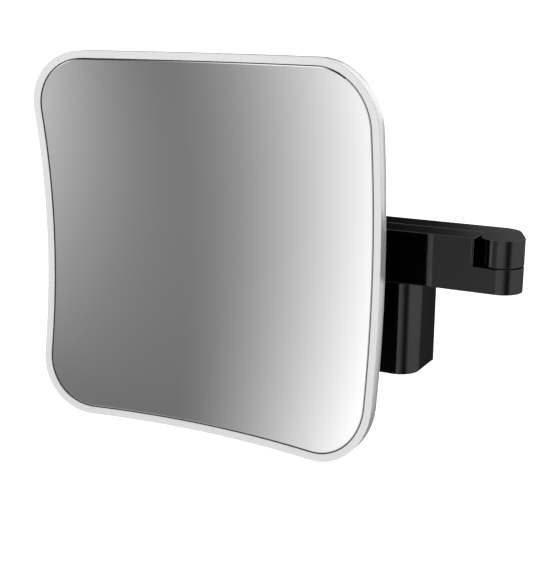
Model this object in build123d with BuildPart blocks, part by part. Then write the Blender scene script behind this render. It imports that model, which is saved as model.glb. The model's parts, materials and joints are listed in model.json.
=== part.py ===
"""Extendable wall mirror: a lit, dished square mirror on a two-link folding arm and a wall bracket.

Frame: millimetres, +X to the right along the wall, +Y into the wall, +Z up. The origin is the centre
of the bracket's back face, on the wall plane, so the whole object lies at Y <= 0.
"""

from build123d import *
from math import cos, radians, sin, sqrt
import os

os.makedirs("parts", exist_ok=True)

# ---------------------------------------------------------------- driving dimensions
# mirror head
HEAD_SIDE = 210.0  # outside of the rim, square
HEAD_CORNER = 34.2  # rim's outer corner radius
DISH_RADIUS = 400.0  # radius of curvature of the concave mirror
RIM_WALL = 0.6
RING_WIDTH = 3.4  # light ring's width inside the rim
SEAL_WIDTH = 0.5  # dark seam between the ring and the glass
GLASS_THICK = 3.0
BACKING_THICK = 0.95
BOARD_THICK = 1.0
SHELL_THICK = 2.0
HEAD_DEPTH = 7.6  # front surface to back surface, along the dish's radius
RING_LIP = 0.9  # front flange of the light ring, which covers the rim's front edge
SEAM = 0.05  # gap between glued or snapped neighbours
SEAL_STEP = 0.1  # seal's front sits this far behind the glass
SEAL_GAP = 0.03
BOARD_WIDTH = 10.0
BACKING_INSET = 4.1  # rim's outside to the backing's edge
LED_LENGTH = 3.5
LED_WIDTH = 2.2
LED_THICK = 0.85
LEDS_PER_SIDE = 10
LEDS_PER_CORNER = 3

# arms
ARM_HEIGHT = 28.5
REAR_THICK = 18.0
FRONT_THICK = 17.9
ARM_GROOVE = 0.5  # gap between the folded arms
WALL_CLEAR = 2.6  # wall plane to the rear arm's back face
EDGE = 0.6  # chamfer on visible edges
ELBOW_X = 80.4
LUG_R = 11.4  # round lugs at the elbow
NOTCH_CLEAR = 0.4  # between the elbow's upper lug and the squared end that turns past it
NOTCH_ROUND = 1.5  # radius of that squared end's front edge
END_SLANT = 22.65  # degrees between the rear arm's end face and straight across
END_CORNER = 12.3  # radius from that end face into the arm's back
LUG_SPLIT = 0.6  # height of the gap between the two lugs of a joint
LUG_ROOT = 10.0  # how far a lug's outline runs back into its bar
ELBOW_SPLIT_DROP = 0.8  # lower lug's top below the arm's middle
SWIVEL_SPLIT_DROP = 0.3
SWIVEL_INSET = 33.0  # swivel axis from the head's left side
SWIVEL_CLEAR = 0.55  # between the swivel neck and the squared end that turns past it
TILT_REACH = 16.45  # swivel axis to tilt axis
TILT_TO_GLASS = 17.4  # tilt axis to the dish's lowest point

# wire channels on the arms' undersides
CHANNEL_HALF = 3.0
CHANNEL_DEPTH = 10.0
COVER_HALF = 4.0
COVER_THICK = 1.4
COVER_EDGE = 0.2
WIRE_CORE_R = 0.9
WIRE_HEIGHT = 4.0
WIRE_SHORT = 2.0  # wire ends inside the channel's ends
WALL_END_CLEAR = 9.0  # wall pivot to the rear channel
SWIVEL_END_CLEAR = 16.0  # swivel to the front channel
NOTCH_END_CLEAR = 6.0  # notch to either channel

# bracket
BRACKET_WIDTH = 72.2
BRACKET_DEPTH = 35.2
BRACKET_HEIGHT = 52.0
BRACKET_CORNER = 12.0
BRACKET_WALL = 2.5
ARM_GAP = 1.05  # bracket's top to the arms' underside
BOSS_R = 8.4
BOSS_LOW = 14.0  # boss's lower end above the bracket's middle
PLATE_THICK = 3.0
PLATE_GAP = 1.0  # wall plate's edge to the housing's inside
PLATE_CORNER = 2.0
LIP_THICK = 2.5  # wall plate's bent lip
LIP_DEPTH = 14.0
LIP_HALF_X = 25.0
GRUB_X = 18.0
GRUB_Y = -8.0
GRUB_R = 2.0
GRUB_LENGTH = 7.0
GRUB_SUNK = 0.4
GRUB_SOCKET_R = 1.15
GRUB_SOCKET_DEPTH = 2.0
SCREW_X = 24.0  # wall screw holes, half their spacing
SCREW_Z = 12.0
SCREW_R = 2.5
ENTRY_Z = -10.0  # wall cable's entry
ENTRY_R = 5.0
DRIVER_SIZE = (40.0, 16.0, 21.0)
DRIVER_CORNER = 1.5
DRIVER_EDGE = 0.8
DRIVER_X = -9.0
DRIVER_LOW = -18.0
KIT_Y = -23.4  # middle of the driver and the terminal block
TERMINAL_SIZE = (12.0, 12.0, 11.0)
TERMINAL_X = 20.0
TERMINAL_LOW = -16.0
POLE_GAP = 6.0
POLE_SCREW_R = 1.8
POLE_SCREW_DEPTH = 4.0
POLE_WIRE_R = 1.4
POLE_WIRE_RISE = 4.0

# joint hardware
PIN_R = 4.0
PIN_HOLLOW_R = 2.0  # the lamp's wires run through the pins
RUN_GAP = 0.04  # radial clearance of a turning pin
PRESS_GAP = 0.02  # radial clearance of a bonded pin
BUSH_R = 5.2
NUT_FLATS = 12.0
NUT_THICK = 2.6
SPRING_THICK = 0.9  # conical spring washer's own thickness
SPRING_RISE = 0.7
SPRING_R = 7.4
WELL_R = 7.2  # counterbore for nut and washer
WELL_DEPTH = 6.2
WELL_SPRING_GAP = 0.4
CAP_THICK = 1.2
CAP_EDGE = 0.3
CAP_SLOT = (6.0, 1.0, 0.5)
STACK_GAP = 0.1  # between stacked pieces under the wall pivot
PIN_COVER = 3.5  # arm left above an elbow or swivel pin
PIN_TAIL = 1.0  # wall pin below its nut
PIN_EDGE = 0.4
PIN_ROOM = 0.3  # cap to pin, and pin's end to nut
WALL_PIN_GRIP = 18.0  # wall pin's length inside the rear arm
WASHER_GAP = 0.2  # round a pin
ELBOW_WASHER_INSET = 1.5
SWIVEL_WASHER_INSET = 1.2

# tilt hinge
EYE_R = 6.5
NECK_HALF = 7.0
NECK_RISE = 1.5  # neck's underside above the arm's
TILT_BOLT_R = 3.0
EAR_GAP = 0.8
EAR_THICK = 4.0
EAR_R = 5.8
BASE_HALF_X = 18.0
BASE_HALF_Z = 12.0
BASE_THICK = 2.0
BASE_CORNER = 3.0
BASE_GAP = 0.2  # behind the back shell
BASE_SCREWS = (29.0, 15.0)  # spacing of the four screws
BASE_SCREW_R = 1.5
SCREW_GAP = 0.1
SCREW_HEAD_R = 2.6
SCREW_HEAD_THICK = 1.8
SCREW_HEAD_ROUND = 0.8
SCREW_SOCKET_R = 1.1
SCREW_REACH = 3.0
SHELL_DRILL = (-8.0, 10.0)  # start and length of the drilling behind the base
BOLT_HEAD_R = 5.0
BOLT_HEAD_THICK = 3.0
BOLT_HEAD_ROUND = 1.0
BOLT_SOCKET_R = 2.0
BOLT_SOCKET_DEPTH = 1.8
BOLT_TAIL = 5.0
TILT_NUT_R = 5.7
TILT_NUT_THICK = 3.5

# ---------------------------------------------------------------- worked-out places
arm_low = BRACKET_HEIGHT / 2 + ARM_GAP
arm_high = arm_low + ARM_HEIGHT
arm_mid = (arm_low + arm_high) / 2
rear_back = -WALL_CLEAR
rear_front = rear_back - REAR_THICK
front_back = rear_front - ARM_GROOVE
front_front = front_back - FRONT_THICK

wall_pivot = (0.0, (rear_back + rear_front) / 2)
elbow = (ELBOW_X, front_front + LUG_R)
notch_x = ELBOW_X - LUG_R - NOTCH_CLEAR
swivel_r = FRONT_THICK / 2
swivel = (-HEAD_SIDE / 2 + SWIVEL_INSET, (front_back + front_front) / 2)
bar_start = swivel[0] + swivel_r + SWIVEL_CLEAR
tilt_y = swivel[1] - TILT_REACH
vertex_y = tilt_y - TILT_TO_GLASS
lower_lug_top = arm_mid - ELBOW_SPLIT_DROP
upper_lug_low = lower_lug_top + LUG_SPLIT
swivel_lug_top = arm_mid - SWIVEL_SPLIT_DROP
swivel_lug_low = swivel_lug_top + LUG_SPLIT
rear_channel = (wall_pivot[0] + WALL_END_CLEAR, notch_x - NOTCH_END_CLEAR)
front_channel = (swivel[0] + SWIVEL_END_CLEAR, notch_x - NOTCH_END_CLEAR)

HEAD_PLANE = Plane(origin=(swivel[0], vertex_y, arm_mid), x_dir=(1, 0, 0), z_dir=(0, -1, 0))
EYE_PLANE = Plane(origin=(swivel[0], tilt_y, arm_mid), x_dir=(0, 1, 0), z_dir=(1, 0, 0))
DISH_CENTRE = (swivel[0], vertex_y - DISH_RADIUS, arm_mid)
DISH_BAND = 40.0  # deep enough to hold the dish's rim and vertex


# ---------------------------------------------------------------- shared shapes
def ring(label, axis, low, high, outer_r, inner_r):
    """A tube or flat washer about the vertical axis at (x, y)."""
    with BuildPart() as piece:
        with BuildSketch(Plane.XY.offset(low)):
            with Locations(axis):
                Circle(outer_r)
                Circle(inner_r, mode=Mode.SUBTRACT)
        extrude(amount=high - low)
    piece.part.label = label
    return piece


def hex_nut(label, axis, low):
    """A thin nut about the vertical axis at (x, y), its corners chamfered by a cone."""
    corner_r = NUT_FLATS / 2 / cos(radians(30))
    with BuildPart() as piece:
        with BuildSketch(Plane.XY.offset(low)):
            with Locations(axis):
                RegularPolygon(corner_r, 6)
                Circle(PIN_R + PRESS_GAP, mode=Mode.SUBTRACT)
        extrude(amount=NUT_THICK)
        with BuildSketch(Plane.XY.offset(low)):
            with Locations(axis):
                Circle(NUT_FLATS / 2)
        extrude(amount=NUT_THICK, taper=-45, mode=Mode.INTERSECT)
    piece.part.label = label
    return piece


def spring_washer(label, axis, low, outer_r):
    """A conical spring washer: a slanted strip turned about the vertical axis at (x, y)."""
    inner_r = PIN_R + PRESS_GAP + STACK_GAP
    with BuildPart() as piece:
        with BuildSketch(Plane(origin=(axis[0], axis[1], low), x_dir=(1, 0, 0), z_dir=(0, -1, 0))):
            with BuildLine():
                Polyline(
                    (inner_r, 0),
                    (outer_r, SPRING_RISE),
                    (outer_r, SPRING_RISE + SPRING_THICK),
                    (inner_r, SPRING_THICK),
                    close=True,
                )
            make_face()
        revolve(axis=Axis((axis[0], axis[1], 0), (0, 0, 1)))
    piece.part.label = label
    return piece


def hollow_pin(label, axis, low, high):
    """A hollow steel pivot pin with a chamfered lower end."""
    with BuildPart() as piece:
        with BuildSketch(Plane.XY.offset(low)):
            with Locations(axis):
                Circle(PIN_R)
        extrude(amount=high - low)
        chamfer(piece.edges().group_by(Axis.Z)[0], PIN_EDGE)
        with BuildSketch(Plane.XY.offset(low)):
            with Locations(axis):
                Circle(PIN_HOLLOW_R)
        extrude(amount=high - low, mode=Mode.SUBTRACT)
    piece.part.label = label
    return piece


def well_cap(label, axis):
    """A plug that closes a joint's counterbore flush with the underside, with a thumbnail slot."""
    with BuildPart() as piece:
        with BuildSketch(Plane.XY.offset(arm_low)):
            with Locations(axis):
                Circle(WELL_R - SEAM)
        extrude(amount=CAP_THICK)
        chamfer(piece.edges().group_by(Axis.Z)[0], CAP_EDGE)
        with BuildSketch(Plane.XY.offset(arm_low)):
            with Locations(axis):
                SlotOverall(*CAP_SLOT[:2])
        extrude(amount=CAP_SLOT[2], mode=Mode.SUBTRACT)
    piece.part.label = label
    return piece


def dished_panel(label, side, corner, near, far, hole_side=0.0, hole_corner=0.0):
    """A rounded square bent to the dish: between radii near and far from the dish's centre."""
    with BuildPart() as piece:
        with BuildSketch(HEAD_PLANE):
            RectangleRounded(side, side, corner)
            if hole_side:
                RectangleRounded(hole_side, hole_side, hole_corner, mode=Mode.SUBTRACT)
        extrude(amount=DISH_BAND, both=True)
        with Locations(DISH_CENTRE):
            Sphere(far, mode=Mode.INTERSECT)
            Sphere(near, mode=Mode.SUBTRACT)
    piece.part.label = label
    return piece


def channel_cover(label, x_low, x_high, y):
    """A snap-in strip that closes an arm's wire channel flush with the underside."""
    with BuildPart() as piece:
        with BuildSketch(Plane.XY.offset(arm_low)):
            with Locations(((x_low + x_high) / 2, y)):
                SlotOverall(x_high - x_low - 2 * SEAM, 2 * (COVER_HALF - SEAM))
        extrude(amount=COVER_THICK - SEAM)
        chamfer(piece.edges().group_by(Axis.Z)[0], COVER_EDGE)
    piece.part.label = label
    return piece


def arm_wire(label, x_low, x_high, y):
    """The lamp's two-core wire where it lies in an arm's channel."""
    start = (x_low + WIRE_SHORT, y, arm_low + WIRE_HEIGHT)
    with BuildPart() as piece:
        with BuildSketch(Plane(origin=start, x_dir=(0, 1, 0), z_dir=(1, 0, 0))):
            SlotOverall(4 * WIRE_CORE_R, 2 * WIRE_CORE_R)
        extrude(amount=x_high - x_low - 2 * WIRE_SHORT)
    piece.part.label = label
    return piece


def cut_channel(x_low, x_high, y):
    """Cuts the wire channel and its cover's recess into the arm being built."""
    for half, depth in ((CHANNEL_HALF, CHANNEL_DEPTH), (COVER_HALF, COVER_THICK)):
        with BuildSketch(Plane.XY.offset(arm_low)) as slot:
            with Locations(((x_low + x_high) / 2, y)):
                SlotOverall(x_high - x_low - 2 * (COVER_HALF - half), 2 * half)
        extrude(slot.sketch, amount=depth, mode=Mode.SUBTRACT)


def cut_round(axis, low, high, radius):
    """Cuts a vertical round hole into the part being built."""
    with BuildSketch(Plane.XY.offset(low)) as hole:
        with Locations(axis):
            Circle(radius)
    extrude(hole.sketch, amount=high - low, mode=Mode.SUBTRACT)


def edges_at(piece, height):
    """Edges of a part that lie level at a height."""
    return piece.edges().filter_by_position(Axis.Z, height - SEAM, height + SEAM)


# ---------------------------------------------------------------- bracket
inner_half = BRACKET_WIDTH / 2 - BRACKET_WALL
bracket_top = BRACKET_HEIGHT / 2

# housing: an open-backed box with round front corners and a boss under its top
with BuildPart() as bracket_housing:
    with BuildSketch(Plane.XY.offset(-bracket_top)):
        with Locations((0, -BRACKET_DEPTH / 2)):
            outline = Rectangle(BRACKET_WIDTH, BRACKET_DEPTH)
        fillet(outline.vertices().group_by(Axis.Y)[0], BRACKET_CORNER)
    extrude(amount=BRACKET_HEIGHT)
    chamfer(bracket_housing.faces().sort_by(Axis.Z)[0].edges(), EDGE)
    chamfer(bracket_housing.faces().sort_by(Axis.Z)[-1].edges(), EDGE)
    with BuildSketch(Plane.XY.offset(-bracket_top + BRACKET_WALL)):
        with Locations((0, (BRACKET_WALL - BRACKET_DEPTH) / 2)):
            cavity = Rectangle(2 * inner_half, BRACKET_DEPTH - BRACKET_WALL)
        fillet(cavity.vertices().group_by(Axis.Y)[0], BRACKET_CORNER - BRACKET_WALL)
    extrude(amount=BRACKET_HEIGHT - 2 * BRACKET_WALL, mode=Mode.SUBTRACT)
    with BuildSketch(Plane.XY.offset(BOSS_LOW)):
        with Locations(wall_pivot):
            Circle(BOSS_R)
    extrude(amount=bracket_top - BRACKET_WALL - BOSS_LOW)
    cut_round(wall_pivot, BOSS_LOW, bracket_top, BUSH_R + PRESS_GAP)
    for side in (-1, 1):
        cut_round((side * GRUB_X, GRUB_Y), -bracket_top, -bracket_top + BRACKET_WALL, GRUB_R + SCREW_GAP)
bracket_housing.part.label = "bracket_housing"

# wall plate: a bent steel plate inside the housing's open back, with a lip for the grub screws
plate_half_x = inner_half - PLATE_GAP
plate_half_z = bracket_top - BRACKET_WALL - PLATE_GAP
with BuildPart() as wall_plate:
    with BuildSketch(Plane.XZ):
        plate = Rectangle(2 * plate_half_x, 2 * plate_half_z)
        fillet(plate.vertices(), PLATE_CORNER)
        with Locations((-SCREW_X, SCREW_Z), (SCREW_X, SCREW_Z)):
            Circle(SCREW_R, mode=Mode.SUBTRACT)
        with Locations((0, ENTRY_Z)):
            Circle(ENTRY_R, mode=Mode.SUBTRACT)
    extrude(amount=PLATE_THICK)
    with BuildSketch(Plane.XY.offset(-plate_half_z)):
        with Locations((0, -LIP_DEPTH / 2)):
            Rectangle(2 * LIP_HALF_X, LIP_DEPTH)
    extrude(amount=LIP_THICK)
    for side in (-1, 1):
        cut_round((side * GRUB_X, GRUB_Y), -plate_half_z, -plate_half_z + LIP_THICK, GRUB_R)
wall_plate.part.label = "wall_plate"

# grub screws: through the housing's floor into the wall plate's lip
grub_low = -bracket_top + GRUB_SUNK
with BuildPart() as housing_grub_screws:
    with BuildSketch(Plane.XY.offset(grub_low)):
        with Locations((-GRUB_X, GRUB_Y), (GRUB_X, GRUB_Y)):
            Circle(GRUB_R - PRESS_GAP)
    extrude(amount=GRUB_LENGTH)
    with BuildSketch(Plane.XY.offset(grub_low)):
        with Locations((-GRUB_X, GRUB_Y), (GRUB_X, GRUB_Y)):
            RegularPolygon(GRUB_SOCKET_R, 6)
    extrude(amount=GRUB_SOCKET_DEPTH, mode=Mode.SUBTRACT)
housing_grub_screws.part.label = "housing_grub_screws"

# lamp driver: a potted block on the floor of the housing
with BuildPart() as led_driver:
    with BuildSketch(Plane.XY.offset(DRIVER_LOW)):
        with Locations((DRIVER_X, KIT_Y)):
            RectangleRounded(*DRIVER_SIZE[:2], DRIVER_CORNER)
    extrude(amount=DRIVER_SIZE[2])
    fillet(led_driver.faces().sort_by(Axis.Z)[-1].edges(), DRIVER_EDGE)
led_driver.part.label = "led_driver"

# terminal block: two poles with wire holes from the front and screw wells from above
terminal_high = TERMINAL_LOW + TERMINAL_SIZE[2]
terminal_front = KIT_Y - TERMINAL_SIZE[1] / 2
with BuildPart() as terminal_block:
    with BuildSketch(Plane.XY.offset(TERMINAL_LOW)):
        with Locations((TERMINAL_X, KIT_Y)):
            Rectangle(*TERMINAL_SIZE[:2])
    extrude(amount=TERMINAL_SIZE[2])
    for pole_x in (TERMINAL_X - POLE_GAP / 2, TERMINAL_X + POLE_GAP / 2):
        cut_round((pole_x, KIT_Y), terminal_high - POLE_SCREW_DEPTH, terminal_high, POLE_SCREW_R)
        mouth = (pole_x, terminal_front, TERMINAL_LOW + POLE_WIRE_RISE)
        with BuildSketch(Plane(origin=mouth, x_dir=(1, 0, 0), z_dir=(0, 1, 0))):
            Circle(POLE_WIRE_R)
        extrude(amount=TERMINAL_SIZE[1], mode=Mode.SUBTRACT)
terminal_block.part.label = "terminal_block"

# wall pivot: bush in the boss, washer under the arm, pin bonded in the arm, spring and nut below
wall_pivot_bush = ring("wall_pivot_bush", wall_pivot, BOSS_LOW, bracket_top, BUSH_R, PIN_R + RUN_GAP)
wall_thrust_washer = ring(
    "wall_thrust_washer", wall_pivot, bracket_top + SEAM, arm_low - SEAM, BOSS_R, PIN_R + WASHER_GAP
)
wall_spring_low = BOSS_LOW - STACK_GAP - SPRING_RISE - SPRING_THICK
wall_nut_low = wall_spring_low - STACK_GAP - NUT_THICK
wall_pin_top = arm_low + WALL_PIN_GRIP
wall_pivot_pin = hollow_pin("wall_pivot_pin", wall_pivot, wall_nut_low - PIN_TAIL, wall_pin_top)
wall_pivot_spring_washer = spring_washer(
    "wall_pivot_spring_washer", wall_pivot, wall_spring_low, SPRING_R
)
wall_pivot_nut = hex_nut("wall_pivot_nut", wall_pivot, wall_nut_low)

# ---------------------------------------------------------------- rear arm
# full-height bar from the wall pivot to the notch, then an upper lug that hooks forward over the elbow;
# the lug's nose runs tangent into a slanted end face and a round back corner
elbow_pin_top = arm_high - PIN_COVER
end_normal = (cos(radians(END_SLANT)), sin(radians(END_SLANT)))
nose_end = (elbow[0] + LUG_R * end_normal[0], elbow[1] + LUG_R * end_normal[1])
corner_y = rear_back - END_CORNER
corner_x = elbow[0] + (LUG_R - END_CORNER - (corner_y - elbow[1]) * end_normal[1]) / end_normal[0]
corner_start = (corner_x + END_CORNER * end_normal[0], corner_y + END_CORNER * end_normal[1])
with BuildPart() as rear_arm:
    with BuildSketch(Plane.XY.offset(arm_low)):
        with Locations(wall_pivot):
            Circle(REAR_THICK / 2)
        with Locations((notch_x / 2, wall_pivot[1])):
            Rectangle(notch_x, REAR_THICK)
    extrude(amount=ARM_HEIGHT)
    with BuildSketch(Plane.XY.offset(upper_lug_low)):
        with BuildLine():
            back = Line((notch_x - LUG_ROOT, rear_back), (corner_x, rear_back))
            corner = RadiusArc(back @ 1, corner_start, END_CORNER)
            slant = Line(corner @ 1, nose_end)
            inner_x = elbow[0] - LUG_R
            nose = ThreePointArc(slant @ 1, (elbow[0], front_front), (inner_x, elbow[1]))
            inner = Line(nose @ 1, (inner_x, rear_front))
            front = Line(inner @ 1, (notch_x - LUG_ROOT, rear_front))
            Line(front @ 1, back @ 0)
        make_face()
    extrude(amount=arm_high - upper_lug_low)
    chamfer(rear_arm.edges().group_by(Axis.Z)[-1], EDGE)
    chamfer(rear_arm.edges().group_by(Axis.Z)[0], EDGE)
    lug_edges = edges_at(rear_arm, upper_lug_low)
    chamfer([edge for edge in lug_edges if edge.center().X > notch_x + NOTCH_CLEAR + SEAM], EDGE)
    cut_channel(*rear_channel, wall_pivot[1])
    cut_round(wall_pivot, arm_low, wall_pin_top, PIN_R + PRESS_GAP)
    cut_round(elbow, upper_lug_low, elbow_pin_top, PIN_R + PRESS_GAP)
rear_arm.part.label = "rear_arm"

rear_arm_channel_cover = channel_cover("rear_arm_channel_cover", *rear_channel, wall_pivot[1])
rear_arm_wire = arm_wire("rear_arm_wire", *rear_channel, wall_pivot[1])

# ---------------------------------------------------------------- front arm
# full-height bar between the two joints, an upper lug at the swivel and a lower lug at the elbow
well_top = arm_low + WELL_DEPTH
swivel_pin_top = arm_high - PIN_COVER
with BuildPart() as front_arm:
    with BuildSketch(Plane.XY.offset(arm_low)):
        with Locations(((bar_start + notch_x) / 2, swivel[1])):
            bar = Rectangle(notch_x - bar_start, FRONT_THICK)
        fillet(bar.vertices().group_by(Axis.X)[-1].sort_by(Axis.Y)[0], NOTCH_ROUND)
    extrude(amount=ARM_HEIGHT)
    with BuildSketch(Plane.XY.offset(swivel_lug_low)):
        with Locations(swivel):
            Circle(swivel_r)
        with Locations(((swivel[0] + bar_start + LUG_ROOT) / 2, swivel[1])):
            Rectangle(bar_start + LUG_ROOT - swivel[0], FRONT_THICK)
    extrude(amount=arm_high - swivel_lug_low)
    with BuildSketch(Plane.XY.offset(arm_low)):
        with Locations(elbow):
            Circle(LUG_R)
        with Locations(((elbow[0] + notch_x - LUG_ROOT) / 2, swivel[1])):
            Rectangle(elbow[0] - notch_x + LUG_ROOT, FRONT_THICK)
    extrude(amount=lower_lug_top - arm_low)
    chamfer(front_arm.edges().group_by(Axis.Z)[-1], EDGE)
    chamfer(front_arm.edges().group_by(Axis.Z)[0], EDGE)
    lug_edges = edges_at(front_arm, lower_lug_top)
    chamfer([edge for edge in lug_edges if edge.center().X > notch_x + SEAM], EDGE)
    cut_channel(*front_channel, swivel[1])
    cut_round(elbow, arm_low, well_top, WELL_R)
    cut_round(elbow, well_top, lower_lug_top, BUSH_R + PRESS_GAP)
    cut_round(swivel, swivel_lug_low, swivel_pin_top, PIN_R + PRESS_GAP)
front_arm.part.label = "front_arm"

front_arm_channel_cover = channel_cover("front_arm_channel_cover", *front_channel, swivel[1])
front_arm_wire = arm_wire("front_arm_wire", *front_channel, swivel[1])

# elbow and swivel hardware: both joints have the same kit, stacked upwards from the counterbore
pin_low = arm_low + CAP_THICK + PIN_ROOM
nut_low = pin_low + PIN_ROOM
spring_low = nut_low + NUT_THICK + PRESS_GAP
spring_r = WELL_R - WELL_SPRING_GAP
elbow_pin = hollow_pin("elbow_pin", elbow, pin_low, elbow_pin_top)
elbow_nut = hex_nut("elbow_nut", elbow, nut_low)
elbow_spring_washer = spring_washer("elbow_spring_washer", elbow, spring_low, spring_r)
elbow_bush = ring("elbow_bush", elbow, well_top, lower_lug_top, BUSH_R, PIN_R + RUN_GAP)
elbow_thrust_washer = ring(
    "elbow_thrust_washer",
    elbow,
    lower_lug_top + SEAM,
    upper_lug_low - SEAM,
    LUG_R - ELBOW_WASHER_INSET,
    PIN_R + WASHER_GAP,
)
elbow_cap = well_cap("elbow_cap", elbow)

swivel_pin = hollow_pin("swivel_pin", swivel, pin_low, swivel_pin_top)
swivel_nut = hex_nut("swivel_nut", swivel, nut_low)
swivel_spring_washer = spring_washer("swivel_spring_washer", swivel, spring_low, spring_r)
swivel_bush = ring("swivel_bush", swivel, well_top, swivel_lug_top, BUSH_R, PIN_R + RUN_GAP)
swivel_thrust_washer = ring(
    "swivel_thrust_washer",
    swivel,
    swivel_lug_top + SEAM,
    swivel_lug_low - SEAM,
    swivel_r - SWIVEL_WASHER_INSET,
    PIN_R + WASHER_GAP,
)
swivel_cap = well_cap("swivel_cap", swivel)

# ---------------------------------------------------------------- swivel neck
neck_low = arm_low + NECK_RISE
with BuildPart() as swivel_neck:
    with BuildSketch(Plane.XY.offset(arm_low)):
        with Locations(swivel):
            Circle(swivel_r)
    extrude(amount=swivel_lug_top - arm_low)
    chamfer(swivel_neck.edges().group_by(Axis.Z)[0], EDGE)
    chamfer(swivel_neck.edges().group_by(Axis.Z)[-1], EDGE)
    with BuildSketch(Plane.XY.offset(neck_low)):
        with Locations((swivel[0], (tilt_y + swivel[1]) / 2)):
            Rectangle(2 * NECK_HALF, swivel[1] - tilt_y)
    extrude(amount=swivel_lug_top - EDGE - neck_low)
    with BuildSketch(EYE_PLANE):
        Circle(EYE_R)
    extrude(amount=NECK_HALF, both=True)
    with BuildSketch(EYE_PLANE):
        Circle(TILT_BOLT_R + RUN_GAP)
    extrude(amount=NECK_HALF, both=True, mode=Mode.SUBTRACT)
    cut_round(swivel, arm_low, well_top, WELL_R)
    cut_round(swivel, well_top, swivel_lug_top, BUSH_R + PRESS_GAP)
swivel_neck.part.label = "swivel_neck"

# ---------------------------------------------------------------- tilt hinge on the head's back
ear_start = NECK_HALF + EAR_GAP
ear_end = ear_start + EAR_THICK
back_y = vertex_y + HEAD_DEPTH
base_y = back_y + BASE_GAP
BASE_PLANE = Plane(origin=(swivel[0], base_y, arm_mid), x_dir=(1, 0, 0), z_dir=(0, 1, 0))

with BuildPart() as tilt_bracket:
    with BuildSketch(BASE_PLANE):
        RectangleRounded(2 * BASE_HALF_X, 2 * BASE_HALF_Z, BASE_CORNER)
        with GridLocations(*BASE_SCREWS, 2, 2):
            Circle(BASE_SCREW_R + SCREW_GAP, mode=Mode.SUBTRACT)
    extrude(amount=BASE_THICK)
    for side in (-1, 1):
        with BuildSketch(EYE_PLANE.offset(side * ear_start)):
            Circle(EAR_R)
            with Locations(((base_y - tilt_y) / 2, 0)):
                Rectangle(tilt_y - base_y, 2 * EAR_R)
            Circle(TILT_BOLT_R + PRESS_GAP, mode=Mode.SUBTRACT)
        extrude(amount=side * EAR_THICK)
tilt_bracket.part.label = "tilt_bracket"

# screws that hold the hinge to the head's back shell, heads towards the wall
with BuildPart() as tilt_bracket_screws:
    with BuildSketch(BASE_PLANE.offset(-SCREW_REACH)):
        with GridLocations(*BASE_SCREWS, 2, 2):
            Circle(BASE_SCREW_R)
    extrude(amount=SCREW_REACH + BASE_THICK + SEAM)
    with BuildSketch(BASE_PLANE.offset(BASE_THICK + SEAM)):
        with GridLocations(*BASE_SCREWS, 2, 2):
            Circle(SCREW_HEAD_R)
    extrude(amount=SCREW_HEAD_THICK)
    fillet(tilt_bracket_screws.edges().group_by(Axis.Y)[-1], SCREW_HEAD_ROUND)
    with BuildSketch(BASE_PLANE.offset(BASE_THICK + SCREW_HEAD_THICK + SEAM)):
        with GridLocations(*BASE_SCREWS, 2, 2):
            RegularPolygon(SCREW_SOCKET_R, 6)
    extrude(amount=-SCREW_SOCKET_R, mode=Mode.SUBTRACT)
tilt_bracket_screws.part.label = "tilt_bracket_screws"

# tilt bolt through both ears and the eye, with a round head on one side and a nut on the other
with BuildPart() as tilt_bolt:
    with BuildSketch(EYE_PLANE.offset(-ear_end - SEAM)):
        Circle(TILT_BOLT_R)
    extrude(amount=2 * ear_end + BOLT_TAIL)
    with BuildSketch(EYE_PLANE.offset(-ear_end - SEAM)):
        Circle(BOLT_HEAD_R)
    extrude(amount=-BOLT_HEAD_THICK)
    fillet(tilt_bolt.edges().group_by(Axis.X)[0], BOLT_HEAD_ROUND)
    with BuildSketch(EYE_PLANE.offset(-ear_end - SEAM - BOLT_HEAD_THICK)):
        RegularPolygon(BOLT_SOCKET_R, 6)
    extrude(amount=BOLT_SOCKET_DEPTH, mode=Mode.SUBTRACT)
tilt_bolt.part.label = "tilt_bolt"

with BuildPart() as tilt_nut:
    with BuildSketch(EYE_PLANE.offset(ear_end + SEAM)):
        RegularPolygon(TILT_NUT_R, 6)
        Circle(TILT_BOLT_R + PRESS_GAP, mode=Mode.SUBTRACT)
    extrude(amount=TILT_NUT_THICK)
tilt_nut.part.label = "tilt_nut"

# friction washers either side of the eye, turning with the head
with BuildPart() as tilt_friction_washers:
    for side in (-1, 1):
        with BuildSketch(EYE_PLANE.offset(side * (NECK_HALF + SEAM))):
            Circle(EAR_R)
            Circle(TILT_BOLT_R + PRESS_GAP, mode=Mode.SUBTRACT)
        extrude(amount=side * (EAR_GAP - 2 * SEAM))
tilt_friction_washers.part.label = "tilt_friction_washers"

# ---------------------------------------------------------------- mirror head, from front to back
def inset(distance):
    """Side and corner radius of the rim's outline moved inwards by a distance."""
    return HEAD_SIDE - 2 * distance, HEAD_CORNER - distance


ring_out = RIM_WALL + SEAM
ring_in = RIM_WALL + RING_WIDTH
seal_out = ring_in + SEAL_GAP
seal_in = seal_out + SEAL_WIDTH
glass_out = seal_in + SEAL_GAP
glass_back = DISH_RADIUS + GLASS_THICK
backing_near = glass_back + SEAM
backing_far = backing_near + BACKING_THICK
board_near = backing_far + STACK_GAP
board_far = board_near + BOARD_THICK
back_far = DISH_RADIUS + HEAD_DEPTH
rim_near = DISH_RADIUS + RING_LIP + SEAM
seal_near = DISH_RADIUS + SEAL_STEP

rim_frame = dished_panel("rim_frame", *inset(0), rim_near, back_far, *inset(RIM_WALL))

# light ring: a strip beside the glass with a thin flange out over the rim's front edge
ring_strip = dished_panel("ring_strip", *inset(ring_out), DISH_RADIUS, glass_back, *inset(ring_in))
ring_flange = dished_panel(
    "ring_flange", *inset(0), DISH_RADIUS, DISH_RADIUS + RING_LIP, *inset(ring_in)
)
with BuildPart() as light_ring:
    add(ring_strip.part)
    add(ring_flange.part)
light_ring.part.label = "light_ring"

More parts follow.
